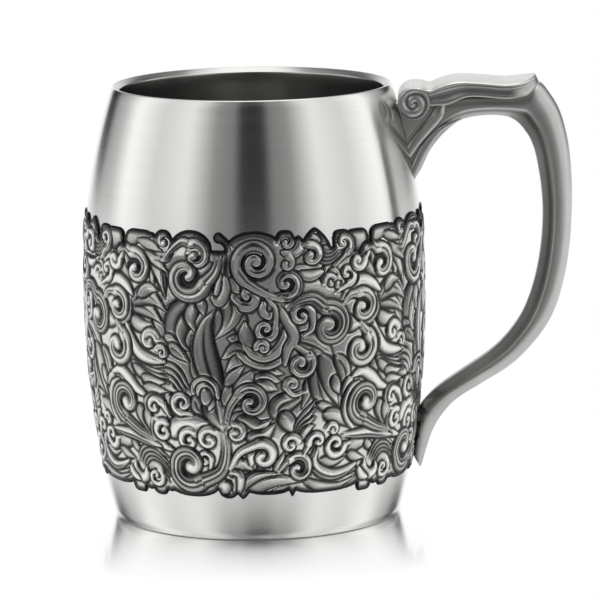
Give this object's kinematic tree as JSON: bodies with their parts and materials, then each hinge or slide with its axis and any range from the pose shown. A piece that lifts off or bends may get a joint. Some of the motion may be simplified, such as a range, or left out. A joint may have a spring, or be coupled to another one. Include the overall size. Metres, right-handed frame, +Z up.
{
  "type": "tankard",
  "caption": "Lidless barrel-shaped pewter tankard with a cast scroll-relief band, plain satin lip and foot, and a cast handle with a moulded thumb rest",
  "frame": {"origin": "centre of the foot face that the tankard stands on", "axes": "+Z up along the barrel's axis, +X from the axis towards the handle, +Y to the left of the handle seen from the barrel"},
  "size_m": [0.1357, 0.095, 0.1217],
  "materials": {
    "satin_pewter": "turned satin, brushed round the axis",
    "relief_pewter": "cast relief, antiqued dark in the hollows and rubbed bright on the crests",
    "cast_pewter": "cast and satin polished"
  },
  "bodies": {
    "root": {"barrel_wall": "satin_pewter", "base_plate": "satin_pewter", "relief_panel_1": "relief_pewter", "relief_panel_2": "relief_pewter", "relief_panel_3": "relief_pewter", "relief_panel_4": "relief_pewter", "handle": "cast_pewter", "thumb_leaf": "cast_pewter"}
  },
  "joints": []
}
